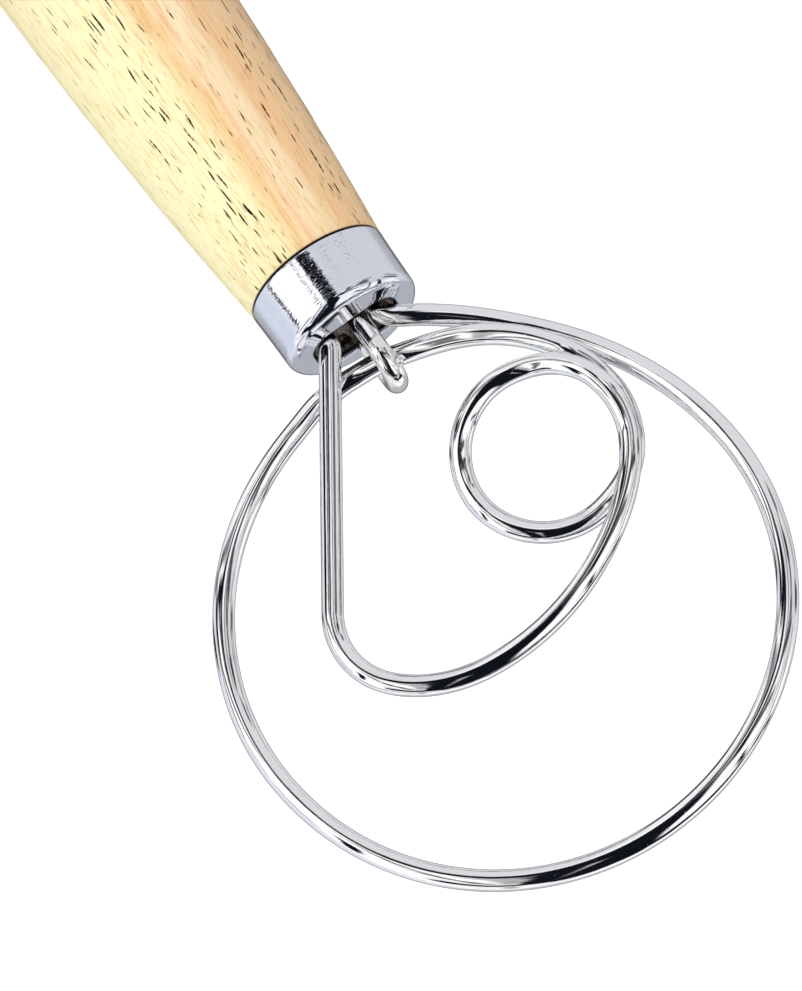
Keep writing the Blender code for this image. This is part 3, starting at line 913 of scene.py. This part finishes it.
for piece, node, slot in (
        (make_handle(), "handle", "pale_wood"),
        (make_ferrule(), "ferrule", "polished_steel"),
        (swept("head_wire", wire + lift, WIRE_D / 2.0, WIRE_SIDES, WIRE),
         "whisk_wire", "bright_wire"),
        (swept("staple_wire", staple + lift, WIRE_D / 2.0, WIRE_SIDES, CLIP),
         "retaining_staple", "bright_staple"),
        (make_potting(pins), "potting", "potting_resin")):
    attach(piece, "root")
    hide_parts(node)

# ----------------------------------------------------------------- camera
TILT = math.radians(23.0)            # the eye looks down by this much
ROLL_COS, ROLL_SIN = 0.8144, 0.5803  # turn of the view, the head hanging down
EYE_DISTANCE = 5.2                   # metres
VIEW_SPAN = 152.1185                 # mm seen along the longer side of the frame
SENSOR = 36.0

to_eye = np.array([0.0, -math.cos(TILT), math.sin(TILT)])
along_head = np.array([0.0, math.sin(TILT), math.cos(TILT)])
sideways = np.array([1.0, 0.0, 0.0])
right = -ROLL_COS * sideways + ROLL_SIN * along_head
up = -(ROLL_SIN * sideways + ROLL_COS * along_head)
focus = np.array([0.0, 0.0, PLATE_Z * MM]) + 0.00909 * sideways + 0.02470 * along_head


def make_camera():
    lens = bpy.data.cameras.new("camera")
    lens.sensor_width = SENSOR
    lens.lens = SENSOR * EYE_DISTANCE / (VIEW_SPAN * MM)
    lens.clip_start, lens.clip_end = 0.1, 60.0
    camera = add_object("camera", lens)
    turn = Matrix([[right[i], up[i], to_eye[i]] for i in range(3)])
    camera.matrix_world = (Matrix.Translation(Vector(focus + to_eye * EYE_DISTANCE))
                           @ turn.to_4x4())
    bpy.context.scene.camera = camera


make_camera()


# ------------------------------------------------------------------ floor
def floor_material():
    mat, g, shader = new_material("pale_floor")
    place = g.place()
    tone = g.noise(place, scale=9.0, detail=4.0)
    colour = g.ramp(tone, ((0.3, (0.90, 0.90, 0.905)), (0.7, (0.93, 0.93, 0.93))))
    # the floor fades into the white surroundings far away
    glow = g.step(g.vec("LENGTH", place), start=0.3, end=1.8, low=0.34, high=0.8)
    g.feed(shader, {"Base Color": colour, "Roughness": 0.7, "Specular IOR Level": 0.2,
                    "Emission Color": (1.0, 1.0, 1.0, 1.0), "Emission Strength": glow})
    return mat


def make_floor(radius=30.0, rings=40, sides=96):
    """Round floor in metres, its rings closer together near the middle."""
    points = [(0.0, 0.0)]
    for k in range(1, rings + 1):
        points += circle(sides, radius * (k / rings) ** 2)
    mesh = bpy.data.meshes.new("floor")
    mesh.from_pydata([(x, y, 0.0) for x, y in points], [], disc_faces(rings, sides))
    mesh.materials.append(floor_material())
    obj = add_object("floor", mesh)
    obj.visible_glossy = False


make_floor()

# --------------------------------------------------- studio surroundings
# Dark bars mirrored in the steel, on a flat chart of the surroundings. The chart is
# in degrees away from the eye direction, x to the right and y down in the view.
# Columns: x and y of the start, x and y of the end, half width at the start and at
# the end, then softness (2 if left out) and strength (1 if left out).
DARK_BARS = (
    # across the middle and the bottom, with short bars above the middle
    (-29.0, -31.0, -12.0, -14.0, 6.5, 10.0), (-12.0, -14.0, 0.0, 5.0, 10.0, 11.5),
    (0.0, 5.0, 4.0, 30.0, 11.5, 13.5), (4.0, 30.0, 12.0, 60.0, 13.5, 21.0),
    (-22.0, -12.0, -17.0, 12.0, 5.0, 5.5), (-17.0, 12.0, -12.0, 60.0, 5.5, 7.0),
    (-37.0, 54.0, 0.0, 62.0, 8.0, 9.0), (0.0, 62.0, 40.0, 62.0, 11.0, 12.0),
    (12.0, 68.0, 33.0, 74.0, 6.0, 6.0), (40.0, 59.0, 69.0, 43.0, 12.0, 10.5),
    (69.0, 41.0, 88.0, 31.0, 8.0, 6.0), (94.0, 27.0, 107.0, 36.0, 3.4, 3.4),
    (-32.0, -30.0, -20.0, -38.0, 4.4, 4.4, 1.5),
    (-40.0, -39.0, -23.0, -41.0, 2.6, 3.2, 1.5),
    (-7.0, -26.0, 8.0, -17.0, 3.4, 3.0, 1.5),
    (-28.0, -14.0, -22.0, 40.0, 3.0, 3.0, 2.0, 0.6),
    (-37.0, 50.0, -22.0, 60.0, 6.0, 6.0, 2.0),
    # right
    (40.0, 8.0, 64.0, 28.0, 2.6, 2.8, 1.5), (69.0, -24.0, 76.0, -2.0, 2.6, 2.8, 1.4, 0.9),
    (76.0, -2.0, 79.0, 17.0, 2.8, 2.8, 1.4), (79.0, 17.0, 77.0, 32.0, 2.8, 2.8, 1.4),
    (55.0, -18.0, 61.0, 2.0, 1.8, 2.0, 1.3, 0.8),
    (61.0, 2.0, 63.0, 20.0, 2.0, 2.0, 1.3, 0.8),
    (78.0, -36.0, 99.0, -29.0, 5.5, 6.0, 3.0, 0.9),
    # above
    (24.0, -38.0, 42.0, -37.0, 3.2, 3.2, 1.6, 0.8),
    (22.0, -50.0, 38.0, -50.0, 4.0, 4.0, 1.6, 0.95),
    (27.0, -59.0, 40.0, -63.0, 3.4, 3.0, 1.6, 0.85),
    (31.0, -44.0, 38.0, -44.0, 4.6, 4.6, 2.5, 0.8),
    (5.0, -44.0, 5.0, -35.0, 4.6, 4.6, 2.5, 0.85),
    (-10.0, -25.0, 18.0, -33.0, 6.0, 4.5, 2.0, 0.95),
    (18.0, -32.0, 48.0, -31.0, 3.6, 3.0, 1.5, 0.9),
    (5.0, -22.0, 33.0, -16.0, 3.6, 3.2, 1.5, 0.9),
    # left
    (-86.0, -33.0, -68.0, -32.0, 5.2, 5.2, 2.0),
    (-68.0, -39.0, -42.0, -38.0, 3.2, 3.2, 1.4),
    (-78.0, -48.0, -38.0, -46.0, 3.4, 3.2, 1.6, 0.8),
    (-86.0, -27.0, -46.0, -27.0, 3.2, 3.2, 1.6, 0.9),
    (-98.0, -46.0, -78.0, -46.0, 3.6, 3.2, 1.6, 0.9),
    (-80.0, -24.0, -84.0, -4.0, 3.0, 2.8, 1.4), (-84.0, -4.0, -83.0, 12.0, 2.8, 2.4, 1.2),
    (-83.0, 12.0, -76.0, 34.0, 2.4, 2.2, 1.4, 0.9),
    (-53.0, 6.0, -65.0, 39.0, 3.2, 3.2, 1.2),
    (-40.0, -17.0, -36.0, 14.0, 2.8, 2.6, 1.2, 0.85),
    (-36.0, 14.0, -28.0, 38.0, 2.6, 2.6, 1.2, 0.85),
    # far out, most of them on the left
    (-100.0, -86.0, -76.0, -99.0, 13.0, 13.0, 4.0),
    (76.0, -62.0, 96.0, -44.0, 8.0, 9.0, 6.0, 0.4),
    (-18.0, 74.0, -14.0, 92.0, 3.0, 3.0, 2.0, 0.6),
    (-113.0, -74.0, -98.0, -84.0, 7.0, 8.0, 4.0),
    (-74.0, -92.0, -48.0, -92.0, 8.0, 8.0, 4.0, 0.7),
    (-121.0, -36.0, -96.0, -40.0, 5.0, 5.0, 3.0, 0.8),
    (-137.0, -10.0, -114.0, -12.0, 7.0, 7.0, 3.0),
)
BAR_WOBBLE = 5.5         # degrees the edges of the bars waver
BAR_BLACK = (0.006, 0.007, 0.012)
WHITE_DIM = (0.90, 0.90, 0.915)
WHITE_LIT = (1.26, 1.26, 1.27)
PANEL_WHITE = (1.34, 1.33, 1.30)
WALL_GREY = (0.765, 0.775, 0.80)
COOL_GREY = (0.80, 0.85, 0.94)
LOW_GREY = (0.52, 0.55, 0.60)
BEHIND_GREY = (0.50, 0.51, 0.53)
BEHIND_DARK = (0.20, 0.20, 0.21)


def mirrored_studio(g):
    """Colour of the surroundings as mirrored in the steel."""
    def degrees(cosine):
        return g.math("ARCCOSINE", g.math(
            "MAXIMUM", g.math("MINIMUM", cosine, 1.0), -1.0)) * (180.0 / math.pi)

    way = g.vec("NORMALIZE", g.place("Generated"))
    theta = degrees(g.vec("DOT_PRODUCT", way, tuple(to_eye)))
    view_x = g.vec("DOT_PRODUCT", way, tuple(right))
    view_y = g.vec("DOT_PRODUCT", way, tuple(-up))
    # the floor on the length only guards the division
    size = g.math("MAXIMUM", g.math("SQRT", view_x * view_x + view_y * view_y), 0.0005)
    unit_x, unit_y = view_x / size, view_y / size
    ruffle = g.noise(way, scale=7.0, detail=4.0, rough=0.65) - 0.5
    chart = g.combine(theta * unit_x, theta * unit_y, 0.0)
    wobble = g.noise(way, scale=8.0, detail=4.0, rough=0.62, output="Color")
    sway = g.vec("SUBTRACT", wobble, (0.5, 0.5, 0.5))
    sway = g.vec("MULTIPLY", sway, (BAR_WOBBLE, BAR_WOBBLE, 0.0))
    chart = g.vec("ADD", chart, sway)

    def patch(phi, half, near, far, soft_side, soft_depth, rough):
        """Patch round the eye direction, in degrees: phi clockwise in the view from
        its right, half width, nearest and farthest angle, soft edges, ruffle."""
        phi = math.radians(phi)
        off = degrees(unit_x * math.cos(phi) + unit_y * math.sin(phi)) + ruffle * rough
        depth = theta + ruffle * rough
        beside = g.step(off, half + soft_side, half - soft_side)
        beyond = g.step(depth, near - soft_depth, near + soft_depth)
        within = g.step(depth, far + soft_depth, far - soft_depth)
        return beside * (beyond * within)

    def bar(x0, y0, x1, y1, half0, half1, soft=2.0, strength=1.0):
        """One row of DARK_BARS."""
        dx, dy = x1 - x0, y1 - y0
        length2 = dx * dx + dy * dy
        rel = g.vec("SUBTRACT", chart, (x0, y0, 0.0))
        t = g.math("MULTIPLY", g.vec("DOT_PRODUCT", rel, (dx / length2, dy / length2, 0.0)),
                   1.0, clamp=True)
        away = g.vec("SUBTRACT", rel,
                     g.vec("MULTIPLY", (dx, dy, 0.0), g.combine(t, t, t)))
        off = g.vec("LENGTH", away) - g.math("MULTIPLY_ADD", t, half1 - half0, half0)
        return g.step(off, start=soft, end=-soft, high=strength)

    dark = bar(*DARK_BARS[0])
    for row in DARK_BARS[1:]:
        dark = g.math("MAXIMUM", dark, bar(*row))
    wall = patch(phi=-64.0, half=58.0, near=40.0, far=150.0,
                 soft_side=5.0, soft_depth=5.0, rough=10.0)
    cool = patch(phi=165.0, half=50.0, near=92.0, far=175.0,
                 soft_side=10.0, soft_depth=6.0, rough=14.0)
    low = patch(phi=55.0, half=55.0, near=112.0, far=165.0,
                soft_side=10.0, soft_depth=6.0, rough=10.0)
    glow = g.noise(way, scale=2.6, rough=0.55)
    white = g.mix(g.step(glow, start=0.36, end=0.62), WHITE_DIM, WHITE_LIT)
    panel = patch(phi=-164.0, half=24.0, near=42.0, far=84.0,
                  soft_side=5.0, soft_depth=4.0, rough=6.0)
    tone = g.mix(panel, white, PANEL_WHITE)
    tone = g.mix(wall, tone, WALL_GREY)
    tone = g.mix(cool, tone, COOL_GREY)
    tone = g.mix(low, tone, LOW_GREY)
    # what lies behind the tool, seen only along the very edges
    tone = g.mix(g.step(theta, start=120.0, end=142.0), tone, BEHIND_GREY)
    tone = g.mix(g.step(theta, start=146.0, end=160.0), tone, BEHIND_DARK)
    return g.mix(dark, tone, BAR_BLACK)


def make_world():
    """Mirrored studio for glossy rays, plain white for the camera, else soft fill."""
    world = bpy.data.worlds.new("studio")
    bpy.context.scene.world = world
    world.use_nodes = True
    world.node_tree.nodes.clear()
    g = Graph(world.node_tree)
    seen = mirrored_studio(g)

    def background(colour, strength=1.0):
        return g.make("ShaderNodeBackground", {0: rgba(colour), 1: strength})

    path = g.add("ShaderNodeLightPath")
    glossy = Signal(g, path.outputs["Is Glossy Ray"])
    camera_ray = Signal(g, path.outputs["Is Camera Ray"])
    fill = background((0.97, 0.98, 1.0), strength=0.62)
    plain = background((1.0, 1.0, 1.0))
    mirror = background(seen)
    lit = g.make("ShaderNodeMixShader", {0: glossy, 1: fill, 2: mirror})
    surface = g.make("ShaderNodeMixShader", {0: camera_ray, 1: lit, 2: plain})
    g.feed(g.add("ShaderNodeOutputWorld"), {"Surface": surface})


make_world()

# ------------------------------------------------------- lamps, in metres
LAMP_TARGET = Vector((0.0, 0.0, 0.17))
LAMP_ORIGIN = np.array([0.0, 0.0, 0.19])


def lamp(name, where, size, power, colour=(1.0, 1.0, 1.0)):
    """Large soft panel aimed at the upper part of the handle."""
    light = bpy.data.lights.new(name, "AREA")
    light.shape = "RECTANGLE"
    light.size, light.size_y = size
    light.energy = power
    light.color = colour
    obj = add_object(name, light)
    obj.location = Vector(where)
    obj.rotation_euler = (LAMP_TARGET - obj.location).to_track_quat("-Z", "Y").to_euler()
    obj.visible_glossy = False
    obj.visible_camera = False


def in_view(to_right, upward, nearer):
    """Point to the right, up and towards the eye of the lamp origin."""
    return tuple(LAMP_ORIGIN + right * to_right + up * upward + to_eye * nearer)


lamp("panel_left", where=in_view(to_right=-0.75, upward=0.10, nearer=0.70),
     size=(0.7, 0.9), power=6.0, colour=(1.0, 0.985, 0.95))
lamp("panel_top", where=in_view(to_right=0.10, upward=0.60, nearer=0.80),
     size=(0.9, 0.6), power=2.4)
lamp("panel_back", where=(0.5, 0.9, 0.7), size=(0.8, 0.8), power=3.2)

view = bpy.context.scene.view_settings
view.view_transform = "Standard"
view.look = "None"
view.exposure = 0.0
view.gamma = 1.0
